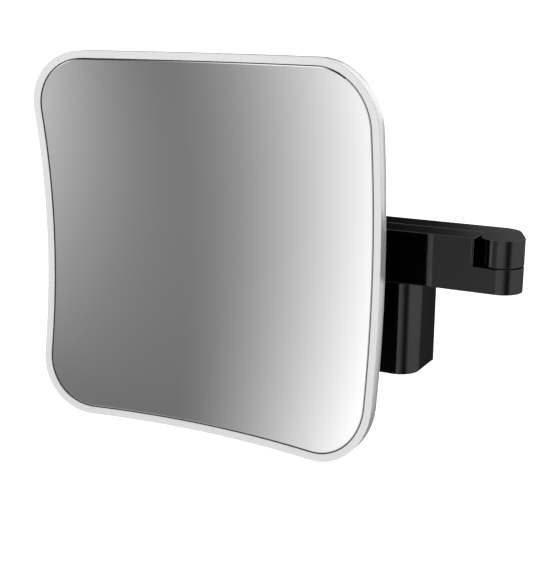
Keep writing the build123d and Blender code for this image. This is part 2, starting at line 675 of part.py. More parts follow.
mirror_seal = dished_panel("mirror_seal", *inset(seal_out), seal_near, glass_back, *inset(seal_in))
mirror_glass = dished_panel("mirror_glass", *inset(glass_out), DISH_RADIUS, glass_back)
mirror_backing = dished_panel("mirror_backing", *inset(BACKING_INSET), backing_near, backing_far)
led_board = dished_panel(
    "led_board", *inset(ring_out), board_near, board_far, *inset(ring_out + BOARD_WIDTH)
)

# back shell, drilled for the hinge's screws
shell_side, shell_corner = inset(ring_out)
with BuildPart() as back_shell:
    with BuildSketch(HEAD_PLANE):
        RectangleRounded(shell_side, shell_side, shell_corner)
    extrude(amount=DISH_BAND, both=True)
    with Locations(DISH_CENTRE):
        Sphere(back_far, mode=Mode.INTERSECT)
        Sphere(back_far - SHELL_THICK, mode=Mode.SUBTRACT)
    with BuildSketch(BASE_PLANE.offset(SHELL_DRILL[0])):
        with GridLocations(*BASE_SCREWS, 2, 2):
            Circle(BASE_SCREW_R + PRESS_GAP)
    extrude(amount=SHELL_DRILL[1], mode=Mode.SUBTRACT)
back_shell.part.label = "back_shell"

# lamps: small packages on the board's front, evenly spaced along the light ring's middle
led_path, led_corner = inset(RIM_WALL + RING_WIDTH / 2)
led_straight = led_path / 2 - led_corner


def led_plane(x, z, angle):
    """Plane on the board's front at head coordinates (x, z), its x along the ring, facing the dish."""
    depth = sqrt((board_near - SEAM) ** 2 - x**2 - z**2)
    foot = Vector(swivel[0] + x, DISH_CENTRE[1] + depth, arm_mid + z)
    inward = (Vector(*DISH_CENTRE) - foot).normalized()
    along = Vector(cos(radians(angle)), 0, sin(radians(angle)))
    return Plane(origin=foot, x_dir=along - inward * along.dot(inward), z_dir=inward)


# places along the bottom side and its right corner, then the same turned to the other three sides
led_pitch = 2 * led_straight / (LEDS_PER_SIDE - 1)
led_row = [(i * led_pitch - led_straight, -led_path / 2, 0) for i in range(LEDS_PER_SIDE)]
for i in range(LEDS_PER_CORNER):
    swing = 90 * (i + 1) / (LEDS_PER_CORNER + 1)
    corner_at_x = led_straight + led_corner * sin(radians(swing))
    corner_at_z = -led_straight - led_corner * cos(radians(swing))
    led_row.append((corner_at_x, corner_at_z, swing))

led_planes = []
for turn in (0, 90, 180, 270):
    c, s = cos(radians(turn)), sin(radians(turn))
    led_planes += [led_plane(c * x - s * z, s * x + c * z, turn + swing) for x, z, swing in led_row]

with BuildPart() as leds:
    with Locations(*led_planes):
        Box(LED_LENGTH, LED_WIDTH, LED_THICK, align=(Align.CENTER, Align.CENTER, Align.MIN))
leds.part.label = "leds"

# ---------------------------------------------------------------- one STEP file per piece
bracket_pieces = (
    bracket_housing,
    wall_plate,
    housing_grub_screws,
    led_driver,
    terminal_block,
    wall_pivot_bush,
    wall_thrust_washer,
)
rear_arm_pieces = (
    rear_arm,
    rear_arm_channel_cover,
    rear_arm_wire,
    wall_pivot_pin,
    wall_pivot_spring_washer,
    wall_pivot_nut,
    elbow_pin,
    elbow_spring_washer,
    elbow_nut,
)
front_arm_pieces = (
    front_arm,
    front_arm_channel_cover,
    front_arm_wire,
    elbow_bush,
    elbow_thrust_washer,
    elbow_cap,
    swivel_pin,
    swivel_spring_washer,
    swivel_nut,
)
swivel_pieces = (swivel_neck, swivel_bush, swivel_thrust_washer, swivel_cap)
head_pieces = (
    tilt_bracket,
    tilt_bracket_screws,
    tilt_bolt,
    tilt_nut,
    tilt_friction_washers,
    back_shell,
    rim_frame,
    light_ring,
    mirror_seal,
    mirror_glass,
    mirror_backing,
    led_board,
    leds,
)
for piece in bracket_pieces + rear_arm_pieces + front_arm_pieces + swivel_pieces + head_pieces:
    export_step(piece.part, f"parts/{piece.part.label}.step")
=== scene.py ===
"""Looks of the extendable wall mirror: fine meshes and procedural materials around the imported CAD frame.

Lengths are millimetres in the part's frame, and meshes are written in metres. Angles are degrees.
"""

import json
import math

import bmesh
import bpy
from mathutils import Matrix, Vector


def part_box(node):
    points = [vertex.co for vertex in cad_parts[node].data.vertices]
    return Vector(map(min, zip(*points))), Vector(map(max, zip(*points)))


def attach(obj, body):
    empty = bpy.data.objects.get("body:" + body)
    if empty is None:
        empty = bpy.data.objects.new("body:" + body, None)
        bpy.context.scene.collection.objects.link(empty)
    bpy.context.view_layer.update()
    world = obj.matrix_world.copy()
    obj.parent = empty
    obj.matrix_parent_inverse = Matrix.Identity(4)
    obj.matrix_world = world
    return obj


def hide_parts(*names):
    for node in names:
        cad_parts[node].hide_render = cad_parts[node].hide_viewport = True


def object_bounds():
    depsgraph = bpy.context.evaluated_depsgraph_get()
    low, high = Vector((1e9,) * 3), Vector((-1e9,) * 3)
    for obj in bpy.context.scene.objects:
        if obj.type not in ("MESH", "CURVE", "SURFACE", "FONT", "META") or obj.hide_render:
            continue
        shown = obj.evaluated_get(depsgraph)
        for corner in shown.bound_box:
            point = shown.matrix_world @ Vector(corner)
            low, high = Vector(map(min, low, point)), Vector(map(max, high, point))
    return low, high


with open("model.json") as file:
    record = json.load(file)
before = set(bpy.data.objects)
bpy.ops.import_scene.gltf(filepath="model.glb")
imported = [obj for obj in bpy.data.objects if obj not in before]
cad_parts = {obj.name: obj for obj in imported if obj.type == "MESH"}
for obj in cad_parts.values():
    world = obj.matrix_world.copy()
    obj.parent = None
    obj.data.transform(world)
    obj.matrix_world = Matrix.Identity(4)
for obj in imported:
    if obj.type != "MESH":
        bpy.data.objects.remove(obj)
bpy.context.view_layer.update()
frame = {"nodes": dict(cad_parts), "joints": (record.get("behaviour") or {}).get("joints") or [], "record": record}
MM = 0.001  # one millimetre in metres

# ---------------------------------------------------------------- dimensions
# bracket
HOUSING_WALL = 2.5
HOUSING_CORNER = 12.0  # front upright corners
HOUSING_BACK_CORNER = 0.3
HOUSING_ROUND = 0.7
BOSS_R = 8.4
BOSS_LOW = 14.0  # underside of the pivot's boss
BOSS_ROOT = 0.5  # how far the boss runs up into the top wall
GRUB_HOLE_R = 2.1

# arms
LUG_R = 11.4  # round lugs at the elbow
LUG_SPLIT = 0.6  # gap between the two lugs of a joint
ELBOW_SPLIT_DROP = 0.8  # lower elbow lug's top below the arm's middle
SWIVEL_SPLIT_RISE = 0.3  # upper swivel lug's underside above the arm's middle
NOTCH_CLEAR = 0.4  # between the elbow's upper lug and the squared end beside it
NOTCH_ROUND = 1.5  # front edge of that squared end
SWIVEL_CLEAR = 0.55  # between the swivel neck and the squared end beside it
END_SLANT = 22.65  # between the rear arm's end face and straight across
END_CORNER = 12.3  # from that end face into the arm's back
LUG_CORNER = 0.45  # where the rear arm's front meets its lug
ARM_ROUND = 0.4
PIN_R = 4.02
BUSH_R = 5.22
WELL_R = 7.2
WELL_DEPTH = 6.2
COVER_CLEAR = 0.05  # round a channel cover

# swivel neck
NECK_HALF = 7.0
NECK_ROUND = 0.5
EYE_R = 6.5
TILT_BORE_R = 3.04
TONGUE_RISE = 1.5  # tongue's underside above the arm's underside
TONGUE_DROP = 0.6  # tongue's top below the neck's top

# mirror head: insets count inwards from the rim's outside, depths from the glass along the dish's radius
DISH_R = 400.0
HEAD_CORNER = 34.2
GLASS_THICK = 3.0
SHELL_THICK = 2.0
HEAD_DEPTH = 7.6
RIM_WALL = 0.6
SEAM = 0.05  # gap between glued or snapped neighbours
RING_WIDTH = 3.4
RING_LIP = 0.9  # front flange of the light ring, which covers the rim's front edge
SEAL_WIDTH = 0.5
SEAL_GAP = 0.03
SEAL_STEP = 0.15  # seal's front behind the glass
RIM_ROUND = 0.1
RIM_BACK_ROUND = 0.25
RING_OUTER_ROUND = 0.4
RING_INNER_ROUND = 0.2
RING_BACK_ROUND = 0.1
SEAL_ROUND = 0.2
SEAL_BACK_ROUND = 0.1
GLASS_BEVEL = (0.45, 0.3)  # width and depth
SHELL_BEVEL = (0.9, 0.5)

# cutting tools and curves
OVER = 5.0  # how far a cutter runs past the surface that it cuts
FAR = 30.0  # reach of a cutter that takes a whole end away
SHARP = 0.01  # corner radius that is sharp to the eye
FINE = 3.0  # degrees between the points of a large visible round


# ---------------------------------------------------------------- places read from the frame
def box_mm(node):
    """Lowest and highest corners of a CAD node in millimetres."""
    low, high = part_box(node)
    return Vector(low) / MM, Vector(high) / MM


def joint_mm(name):
    """A joint's position in millimetres."""
    return Vector(next(j for j in frame["joints"] if j["name"] == name)["pos_m"]) / MM


WALL_PIVOT = joint_mm("wall_swing")
ELBOW = joint_mm("elbow_fold")
SWIVEL = joint_mm("head_turn")
TILT = joint_mm("head_tilt")
rim_low, rim_high = box_mm("rim_frame")
HEAD_HALF = (rim_high.x - rim_low.x) / 2
HEAD_CENTRE = Vector((TILT.x, 0, TILT.z))
DISH_CENTRE_Y = box_mm("mirror_glass")[1].y - GLASS_THICK - DISH_R


# ---------------------------------------------------------------- mesh helpers
def new_object(name, bm):
    """Object from a bmesh whose coordinates are millimetres."""
    bmesh.ops.scale(bm, vec=(MM, MM, MM), verts=bm.verts)
    bmesh.ops.recalc_face_normals(bm, faces=bm.faces)
    mesh = bpy.data.meshes.new(name)
    bm.to_mesh(mesh)
    bm.free()
    obj = bpy.data.objects.new(name, mesh)
    bpy.context.scene.collection.objects.link(obj)
    return obj


def arc(cx, cy, radius, start, end, step=4.0):
    """Points on an arc from start to end degrees, both ends included."""
    count = max(2, round(abs(end - start) / step))
    angles = [math.radians(start + (end - start) * i / count) for i in range(count + 1)]
    return [(cx + radius * math.cos(a), cy + radius * math.sin(a)) for a in angles]


def circle(cx, cy, radius, step=5.0):
    """Points round a full circle, with the first one repeated at the end."""
    return arc(cx, cy, radius, 0, 360, step)


def tidy_outline(points, closest=1e-4):
    """Drops points that repeat their neighbour."""
    kept = []
    for p in points:
        if not kept or math.dist(p, kept[-1]) > closest:
            kept.append(p)
    if math.dist(kept[0], kept[-1]) < closest:
        kept.pop()
    return kept


def prism(name, outline, low, high, axis="Z"):
    """Closed prism: the outline in the plane across the axis, from low to high along it."""
    bm = bmesh.new()
    place = {
        "X": lambda u, v, w: (w, u, v),
        "Z": lambda u, v, w: (u, v, w),
    }[axis]
    rings = [[bm.verts.new(place(u, v, w)) for u, v in tidy_outline(outline)] for w in (low, high)]
    count = len(rings[0])
    for i in range(count):
        j = (i + 1) % count
        bm.faces.new((rings[0][i], rings[0][j], rings[1][j], rings[1][i]))
    bm.faces.new(rings[0][::-1])
    bm.faces.new(rings[1])
    return new_object(name, bm)


def rounded_box(x0, x1, y0, y1, radii, step=FINE):
    """Outline of a rectangle with one corner radius each for (x0, y0), (x1, y0), (x1, y1) and (x0, y1)."""
    a, b, c, d = radii
    return (
        arc(x0 + a, y0 + a, a, 180, 270, step)
        + arc(x1 - b, y0 + b, b, 270, 360, step)
        + arc(x1 - c, y1 - c, c, 0, 90, step)
        + arc(x0 + d, y1 - d, d, 90, 180, step)
    )


def sharp_box(x0, x1, y0, y1):
    """Outline of a rectangle whose corners look sharp."""
    return rounded_box(x0, x1, y0, y1, (SHARP,) * 4, step=45)


def combine(base, others, operation):
    """Joins the others to the base or cuts them out of it, exactly, and removes them."""
    for other in others:
        modifier = base.modifiers.new("cut", "BOOLEAN")
        modifier.operation = operation
        modifier.solver = "EXACT"
        modifier.object = other
    apply_modifiers(base)
    for other in others:
        mesh = other.data
        bpy.data.objects.remove(other)
        bpy.data.meshes.remove(mesh)


def apply_modifiers(obj):
    """Replaces the mesh by what its modifiers make of it."""
    depsgraph = bpy.context.evaluated_depsgraph_get()
    done = bpy.data.meshes.new_from_object(obj.evaluated_get(depsgraph))
    old = obj.data
    obj.modifiers.clear()
    obj.data = done
    done.name = obj.name
    bpy.data.meshes.remove(old)


def smooth_by_angle(obj, degrees=35.0):
    """Smooth faces with sharp edges where faces meet at more than the angle."""
    bm = bmesh.new()
    bm.from_mesh(obj.data)
    for face in bm.faces:
        face.smooth = True
    for edge in bm.edges:
        edge.smooth = len(edge.link_faces) == 2 and edge.calc_face_angle(0) < math.radians(degrees)
    bm.to_mesh(obj.data)
    bm.free()


def round_edges(obj, width):
    """Rounds every hard edge of a finished shape and keeps its flats flat in shading."""
    weld = 0.004
    flat_angle = 0.5
    hard_angle = 38
    clean = bmesh.new()
    clean.from_mesh(obj.data)
    bmesh.ops.remove_doubles(clean, verts=clean.verts, dist=weld * MM)
    bmesh.ops.dissolve_limit(
        clean, angle_limit=math.radians(flat_angle), verts=clean.verts, edges=clean.edges
    )
    clean.to_mesh(obj.data)
    clean.free()
    bevel = obj.modifiers.new("round", "BEVEL")
    bevel.width = width * MM
    bevel.segments = 3
    bevel.limit_method = "ANGLE"
    bevel.angle_limit = math.radians(hard_angle)
    bevel.miter_outer = "MITER_ARC"
    bevel.use_clamp_overlap = False
    apply_modifiers(obj)
    smooth_by_angle(obj)
    weighted = obj.modifiers.new("flats", "WEIGHTED_NORMAL")
    weighted.keep_sharp = True
    weighted.weight = 90
    apply_modifiers(obj)


# ---------------------------------------------------------------- procedural materials
class Nodes:
    """Short calls that add and link shader nodes in one tree."""

    def __init__(self, tree):
        self.tree = tree

    def add(self, kind, inputs=None, **settings):
        node = self.tree.nodes.new(kind)
        for key, value in settings.items():
            setattr(node, key, value)
        for key, value in (inputs or {}).items():
            if isinstance(value, bpy.types.NodeSocket):
                self.tree.links.new(value, node.inputs[key])
            else:
                node.inputs[key].default_value = value
        return node

    def math(self, operation, *values):
        return self.add("ShaderNodeMath", dict(enumerate(values)), operation=operation).outputs[0]

    def polynomial(self, value, *coefficients):
        """Sum of each coefficient times a power of the value: the constant first, then the slope."""
        total = coefficients[-1]
        for coefficient in coefficients[-2::-1]:
            total = self.math("MULTIPLY_ADD", total, value, coefficient)
        return total

    def smooth(self, value, start, end):
        """0 at start to 1 at end, easing in and out."""
        inputs = {"Value": value, "From Min": start, "From Max": end}
        return self.add("ShaderNodeMapRange", inputs, interpolation_type="SMOOTHSTEP").outputs["Result"]

    def blend(self, a, b, share):
        """Level a where the share is 0 and level b where it is 1."""
        return self.math("ADD", a, self.math("MULTIPLY", share, self.math("SUBTRACT", b, a)))

    def noise(self, coords, scale, detail, roughness):
        inputs = {"Vector": coords, "Scale": scale, "Detail": detail, "Roughness": roughness}
        return self.add("ShaderNodeTexNoise", inputs).outputs["Fac"]

    def ramp(self, factor, stops):
        """Colour ramp; each stop is (position, grey or colour)."""
        node = self.add("ShaderNodeValToRGB", {"Fac": factor})
        elements = node.color_ramp.elements
        while len(elements) < len(stops):
            elements.new(0.5)
        for element, (position, colour) in zip(elements, stops):
            element.position = position
            rgb = (colour,) * 3 if isinstance(colour, (int, float)) else colour
            element.color = (*rgb, 1.0)
        return node.outputs["Color"]


WARM_WHITE = (1.0, 0.985, 0.96, 1.0)


def grey(level):
    return (level,) * 3


def surface(
    name,
    dark,
    light,
    rough,
    *,
    grain_scale,
    grain_height,
    metallic=0.0,
    tone_scale=60.0,
    stretch=None,
    edge_tint=1.0,
    emission=0.0,
):
    """Principled material: colour drifts from dark to light, roughness over its range, and grain bumps it.

    The scales are counts per metre, and the grain's height is in millimetres. Stretch draws the grain out.
    """
    wear_per_tone = 0.37  # roughness drifts more slowly than colour
    mat = bpy.data.materials.new(name)
    mat.use_nodes = True
    tree = mat.node_tree
    tree.nodes.clear()
    n = Nodes(tree)
    coords = n.add("ShaderNodeTexCoord").outputs["Object"]
    tone = n.noise(coords, tone_scale, 4.0, 0.55)
    wear = n.noise(coords, tone_scale * wear_per_tone, 5.0, 0.65)
    if stretch:
        coords = n.add("ShaderNodeMapping", {"Vector": coords, "Scale": stretch}).outputs["Vector"]
    grain = n.noise(coords, grain_scale, 2.0, 0.5)
    shader = n.add("ShaderNodeBsdfPrincipled")
    tree.links.new(n.ramp(tone, ((0.3, dark), (0.7, light))), shader.inputs["Base Color"])
    tree.links.new(n.ramp(wear, ((0.35, rough[0]), (0.7, rough[1]))), shader.inputs["Roughness"])
    bump = n.add("ShaderNodeBump", {"Height": grain, "Strength": 1.0, "Distance": grain_height * MM})
    tree.links.new(bump.outputs["Normal"], shader.inputs["Normal"])
    shader.inputs["Metallic"].default_value = metallic
    shader.inputs["IOR"].default_value = 1.5
    shader.inputs["Specular Tint"].default_value = (*grey(edge_tint), 1.0)
    if emission:
        shader.inputs["Emission Color"].default_value = WARM_WHITE
        shader.inputs["Emission Strength"].default_value = emission
    out = n.add("ShaderNodeOutputMaterial")
    tree.links.new(shader.outputs["BSDF"], out.inputs["Surface"])
    return mat


MATERIALS = {
    "black_lacquer": surface(
        "lacquer", grey(0.096), grey(0.104), (0.03, 0.06), metallic=1.0, edge_tint=0.5, tone_scale=35,
        grain_scale=450, grain_height=0.0006,
    ),
    "shell_black": surface(
        "shell_lacquer", grey(0.004), grey(0.007), (0.16, 0.24), tone_scale=30, grain_scale=900,
        grain_height=0.0015,
    ),
    "black_plastic": surface(
        "black_plastic", grey(0.012), grey(0.02), (0.38, 0.5), grain_scale=2600, grain_height=0.012,
    ),
    "driver_plastic": surface(
        "driver_plastic", (0.72, 0.72, 0.69), (0.8, 0.8, 0.77), (0.45, 0.55), grain_scale=2200,
        grain_height=0.01,
    ),
    "terminal_plastic": surface(
        "terminal_plastic", (0.66, 0.68, 0.68), (0.76, 0.78, 0.78), (0.25, 0.34), grain_scale=1800,
        grain_height=0.004,
    ),
    "bush_plastic": surface(
        "bush_plastic", grey(0.02), grey(0.035), (0.4, 0.55), grain_scale=2600, grain_height=0.008,
    ),
    "wire_plastic": surface(
        "wire_plastic", (0.55, 0.55, 0.53), (0.66, 0.66, 0.63), (0.32, 0.42), grain_scale=1600,
        grain_height=0.004,
    ),
    "zinc_steel": surface(
        "zinc_steel", (0.42, 0.44, 0.47), (0.62, 0.63, 0.64), (0.24, 0.42), metallic=1.0, tone_scale=220,
        grain_scale=1400, grain_height=0.004,
    ),
    "pin_steel": surface(
        "pin_steel", (0.5, 0.5, 0.51), (0.6, 0.6, 0.61), (0.14, 0.24), metallic=1.0, grain_scale=1500,
        grain_height=0.003, stretch=(0.05, 0.05, 1.0),
    ),
    "dark_steel": surface(
        "dark_steel", (0.02, 0.02, 0.022), (0.04, 0.04, 0.043), (0.26, 0.38), metallic=0.6,
        grain_scale=1800, grain_height=0.005,
    ),
    "chrome_rim": surface(
        "satin_chrome", grey(0.86), grey(0.9), (0.23, 0.28), metallic=0.8, tone_scale=45,
        grain_scale=900, grain_height=0.0008,
    ),
    "frosted_acrylic": surface(
        "frosted_acrylic", grey(0.62), grey(0.64), (0.42, 0.5), tone_scale=25,
        grain_scale=2400, grain_height=0.008,
    ),
    "seal_rubber": surface(
        "seal_rubber", grey(0.012), grey(0.022), (0.5, 0.65), grain_scale=2000, grain_height=0.006,
    ),
    "silvered_glass": surface(
        "silvered_glass", grey(0.97), grey(0.98), (0.0, 0.012), metallic=1.0,
        tone_scale=20, grain_scale=60, grain_height=0.00002,
    ),
    "board_aluminium": surface(
        "board", grey(0.82), grey(0.88), (0.4, 0.5), grain_scale=2000, grain_height=0.004,
    ),
    "led_plastic": surface(
        "led_lens", (0.8, 0.7, 0.3), (0.9, 0.8, 0.42), (0.2, 0.3), grain_scale=2500, grain_height=0.004,
    ),
}
SLOT_OF = {row["node"]: row["material_slot"] for row in frame["record"]["subparts"]}


def dress(obj, slot, body, *nodes):
    """Gives a new piece the material of a slot, hangs it on its body and hides the CAD nodes that it stands in
    for.
    """
    obj.data.materials.clear()
    obj.data.materials.append(MATERIALS[slot])
    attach(obj, body)
    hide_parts(*nodes)


# ---------------------------------------------------------------- bracket
def make_housing():
    """Block open to the wall, with a boss for the wall pivot's bush and two grub screw holes underneath."""
    low, high = box_mm("bracket_housing")
    outer_corners = (HOUSING_CORNER, HOUSING_CORNER, HOUSING_BACK_CORNER, HOUSING_BACK_CORNER)
    inner_corner = HOUSING_CORNER - HOUSING_WALL
    inner_corners = (inner_corner, inner_corner, HOUSING_BACK_CORNER, HOUSING_BACK_CORNER)
    inner_top = high.z - HOUSING_WALL
    housing = prism(
        "bracket_cover", rounded_box(low.x, high.x, low.y, high.y, outer_corners), low.z, high.z
    )
    cavity = prism(
        "cavity",
        rounded_box(
            low.x + HOUSING_WALL, high.x - HOUSING_WALL, low.y + HOUSING_WALL, OVER, inner_corners
        ),
        low.z + HOUSING_WALL,
        inner_top,
    )
    boss = prism("boss", circle(WALL_PIVOT.x, WALL_PIVOT.y, BOSS_R), BOSS_LOW, inner_top + BOSS_ROOT)
    bush_hole = prism(
        "bush_hole", circle(WALL_PIVOT.x, WALL_PIVOT.y, BUSH_R), BOSS_LOW - OVER, high.z + OVER
    )
    grub_low, grub_high = box_mm("housing_grub_screws")
    grub_y = (grub_low.y + grub_high.y) / 2
    grub_x = grub_high.x - (grub_high.y - grub_low.y) / 2
    grub_holes = [
        prism("grub_hole", circle(side * grub_x, grub_y, GRUB_HOLE_R), low.z - OVER, low.z + OVER)
        for side in (-1, 1)
    ]
    combine(housing, [cavity], "DIFFERENCE")
    combine(housing, [boss], "UNION")
    combine(housing, [bush_hole, *grub_holes], "DIFFERENCE")
    round_edges(housing, HOUSING_ROUND)
    dress(housing, "black_lacquer", "bracket", "bracket_housing")


make_housing()

# ---------------------------------------------------------------- arms
rear_low, rear_high = box_mm("rear_arm")
arm_low, arm_high = rear_low.z, rear_high.z
arm_middle = (arm_low + arm_high) / 2
rear_back = rear_high.y
rear_front = 2 * WALL_PIVOT.y - rear_back
front_face = box_mm("front_arm")[0].y
front_back = 2 * SWIVEL.y - front_face
front_half = SWIVEL.y - front_face
lower_lug_top = arm_middle - ELBOW_SPLIT_DROP
upper_lug_low = lower_lug_top + LUG_SPLIT
swivel_lug_low = arm_middle + SWIVEL_SPLIT_RISE
notch_x = ELBOW.x - LUG_R - NOTCH_CLEAR


def underside_cutters(cover_node, wells):
    """Cutters for an arm's underside: the cover's recess, and round wells as (x, y, radius, depth)."""
    low, high = box_mm(cover_node)
    half = (high.y - low.y) / 2 + COVER_CLEAR
    y = (high.y + low.y) / 2
    left_x = low.x - COVER_CLEAR + half
    right_x = high.x + COVER_CLEAR - half
    recess = prism(
        "recess",
        arc(left_x, y, half, 90, 270) + arc(right_x, y, half, -90, 90),
        arm_low - OVER,
        high.z + COVER_CLEAR,
    )
    return [recess] + [
        prism("well", circle(x, y, radius), arm_low - OVER, arm_low + depth)
        for x, y, radius, depth in wells
    ]


def make_rear_arm():
    """Bar with a round end over the wall pivot and the upper lug of the elbow at its other end."""
    # the end's round corner touches the slanted face that runs off the lug's nose
    slant = math.radians(END_SLANT)
    end_y = rear_back - END_CORNER
    end_x = ELBOW.x + (LUG_R - END_CORNER - (end_y - ELBOW.y) * math.sin(slant)) / math.cos(slant)
    outline = (
        arc(WALL_PIVOT.x, WALL_PIVOT.y, rear_back - WALL_PIVOT.y, 90, 270, FINE)
        + arc(ELBOW.x - LUG_R - LUG_CORNER, rear_front - LUG_CORNER, LUG_CORNER, 90, 0, step=15)
        + arc(ELBOW.x, ELBOW.y, LUG_R, 180, 360 + END_SLANT, FINE)
        + arc(end_x, end_y, END_CORNER, END_SLANT, 90, FINE)
    )
    arm = prism("rear_arm_link", outline, arm_low, arm_high)
    lap_cut = prism(
        "lap_cut",
        sharp_box(notch_x, rear_high.x + OVER, ELBOW.y - LUG_R - OVER, rear_back + OVER),
        arm_low - OVER,
        upper_lug_low,
    )
    combine(arm, [lap_cut], "DIFFERENCE")
    pin_depth = box_mm("wall_pivot_pin")[1].z - arm_low
    pin_well = (WALL_PIVOT.x, WALL_PIVOT.y, PIN_R, pin_depth)
    combine(arm, underside_cutters("rear_arm_channel_cover", [pin_well]), "DIFFERENCE")
    elbow_bore = prism(
        "elbow_bore", circle(ELBOW.x, ELBOW.y, PIN_R), upper_lug_low - OVER, box_mm("elbow_pin")[1].z
    )
    combine(arm, [elbow_bore], "DIFFERENCE")
    round_edges(arm, ARM_ROUND)
    dress(arm, "black_lacquer", "rear_arm", "rear_arm")


def make_front_arm():
    """Bar with the elbow's lower lug at one end and the swivel's upper lug at the other."""
    back_reach = math.sqrt(LUG_R**2 - (front_back - ELBOW.y) ** 2)
    back_angle = math.degrees(math.atan2(front_back - ELBOW.y, -back_reach))
    outline = (
        arc(SWIVEL.x, SWIVEL.y, front_half, 90, 270, FINE)
        + arc(ELBOW.x, ELBOW.y, LUG_R, -90, back_angle, FINE)
    )
    arm = prism("front_arm_link", outline, arm_low, arm_high)
    near, far = front_face - FAR, front_back + FAR
    notch_cut = prism(
        "notch_cut",
        [(notch_x - NOTCH_ROUND, near)]
        + arc(notch_x - NOTCH_ROUND, front_face + NOTCH_ROUND, NOTCH_ROUND, -90, 0, step=10)
        + [(notch_x, far), (notch_x + FAR, far), (notch_x + FAR, near)],
        lower_lug_top,
        arm_high + OVER,
    )
    bar_start = SWIVEL.x + front_half + SWIVEL_CLEAR
    swivel_cut = prism(
        "swivel_cut", sharp_box(bar_start - FAR, bar_start, near, far), arm_low - OVER, swivel_lug_low
    )
    combine(arm, [notch_cut, swivel_cut], "DIFFERENCE")
    elbow_wells = [
        (ELBOW.x, ELBOW.y, WELL_R, WELL_DEPTH),
        (ELBOW.x, ELBOW.y, BUSH_R, arm_high - arm_low),
    ]
    combine(arm, underside_cutters("front_arm_channel_cover", elbow_wells), "DIFFERENCE")
    swivel_bore = prism(
        "swivel_bore", circle(SWIVEL.x, SWIVEL.y, PIN_R), swivel_lug_low - OVER, box_mm("swivel_pin")[1].z
    )
    combine(arm, [swivel_bore], "DIFFERENCE")
    round_edges(arm, ARM_ROUND)
    dress(arm, "black_lacquer", "front_arm", "front_arm")


def make_neck():
    """Lower lug of the swivel, with a tongue and an eye for the tilt bolt."""
    top = swivel_lug_low - LUG_SPLIT
    left, right = TILT.x - NECK_HALF, TILT.x + NECK_HALF
    neck = prism("swivel_knuckle", circle(SWIVEL.x, SWIVEL.y, front_half, FINE), arm_low, top)
    tongue = prism(
        "tongue", sharp_box(left, right, TILT.y, SWIVEL.y), arm_low + TONGUE_RISE, top - TONGUE_DROP
    )
    eye = prism("eye", circle(TILT.y, TILT.z, EYE_R, step=4), left, right, "X")
    combine(neck, [tongue, eye], "UNION")
    cutters = [
        prism("tilt_bore", circle(TILT.y, TILT.z, TILT_BORE_R), TILT.x - FAR, TILT.x + FAR, "X"),
        prism("well", circle(SWIVEL.x, SWIVEL.y, WELL_R), arm_low - OVER, arm_low + WELL_DEPTH),
        prism("bush_bore", circle(SWIVEL.x, SWIVEL.y, BUSH_R), arm_low - OVER, arm_high),
    ]
    combine(neck, cutters, "DIFFERENCE")
    round_edges(neck, NECK_ROUND)
    dress(neck, "black_lacquer", "swivel", "swivel_neck")


make_rear_arm()
make_front_arm()
make_neck()


# ---------------------------------------------------------------- mirror head
def head_outline(inset, side_steps=20, corner_steps=18):
    """Rounded square outline moved inwards, as (x, z) about the head's centre."""
    half, radius = HEAD_HALF - inset, HEAD_CORNER - inset
    flat = half - radius
    points = []
    for quarter in range(4):
        c, s = ((1, 0), (0, 1), (-1, 0), (0, -1))[quarter]
        side = [(flat * (2 * i / side_steps - 1), -half) for i in range(side_steps)]
        bend = arc(flat, -flat, radius, -90, 0, step=90 / corner_steps)[:-1]
        points += [(c * x - s * z, s * x + c * z) for x, z in side + bend]
    return points


def on_dish(x, z, radius):
    """Point over (x, z) on the sphere of a radius about the dish's centre."""
    depth = math.sqrt(radius**2 - x**2 - z**2)
    return Vector((HEAD_CENTRE.x + x, DISH_CENTRE_Y + depth, HEAD_CENTRE.z + z))


def join_loops(bm, loops):
    """Faces between each closed loop of points and the next one."""
    count = len(loops[0])
    for outer, inner in zip(loops, loops[1:]):
        for i in range(count):
            j = (i + 1) % count
            bm.faces.new((outer[i], outer[j], inner[j], inner[i]))


def band(name, profile):
    """Closed ring whose cross-section is the profile of (inset, dish radius), given in order round it."""
    bm = bmesh.new()
    loops = []
    for inset, radius in profile:
        loops.append([bm.verts.new(on_dish(x, z, radius)) for x, z in head_outline(inset)])
    join_loops(bm, loops + loops[:1])
    obj = new_object(name, bm)
    smooth_by_angle(obj, degrees=30)
    return obj


def rounded_profile(inset_out, inset_in, near, far, front, back):
    """Cross-section of a strip whose front and back corners have one radius each."""
    points = []
    corners = (
        (inset_out + front, near + front, front, 180),
        (inset_in - front, near + front, front, 270),
        (inset_in - back, far - back, back, 0),
        (inset_out + back, far - back, back, 90),
    )
    for u, v, radius, start in corners:
        points += arc(u, v, radius, start, start + 90, step=22.5)
    return points


def dished_disc(bm, outline, radius, rings=44):
    """Dished face inside an outline, as shrinking loops round a middle point. Returns its outer loop."""
    loops = []
    for ring in range(rings):
        share = 1 - ring / rings
        loops.append([bm.verts.new(on_dish(x * share, z * share, radius)) for x, z in outline])
    join_loops(bm, loops)
    middle = bm.verts.new(on_dish(0.0, 0.0, radius))
    innermost = loops[-1]
    for i, point in enumerate(innermost):
        bm.faces.new((point, innermost[(i + 1) % len(innermost)], middle))
    return loops[0]


def panel(name, inset, near, far, bevel):
    """Dished plate with bevelled front and back edges; the bevel is (width, depth)."""
    bm = bmesh.new()
    width, depth = bevel
    outline = head_outline(inset + width)
    front = dished_disc(bm, outline, near)
    back = dished_disc(bm, outline, far)
    edges = [
        [bm.verts.new(on_dish(x, z, radius)) for x, z in head_outline(inset)]
        for radius in (near + depth, far - depth)
    ]
    join_loops(bm, [front, *edges, back])
    obj = new_object(name, bm)
    smooth_by_angle(obj, degrees=6)
    return obj


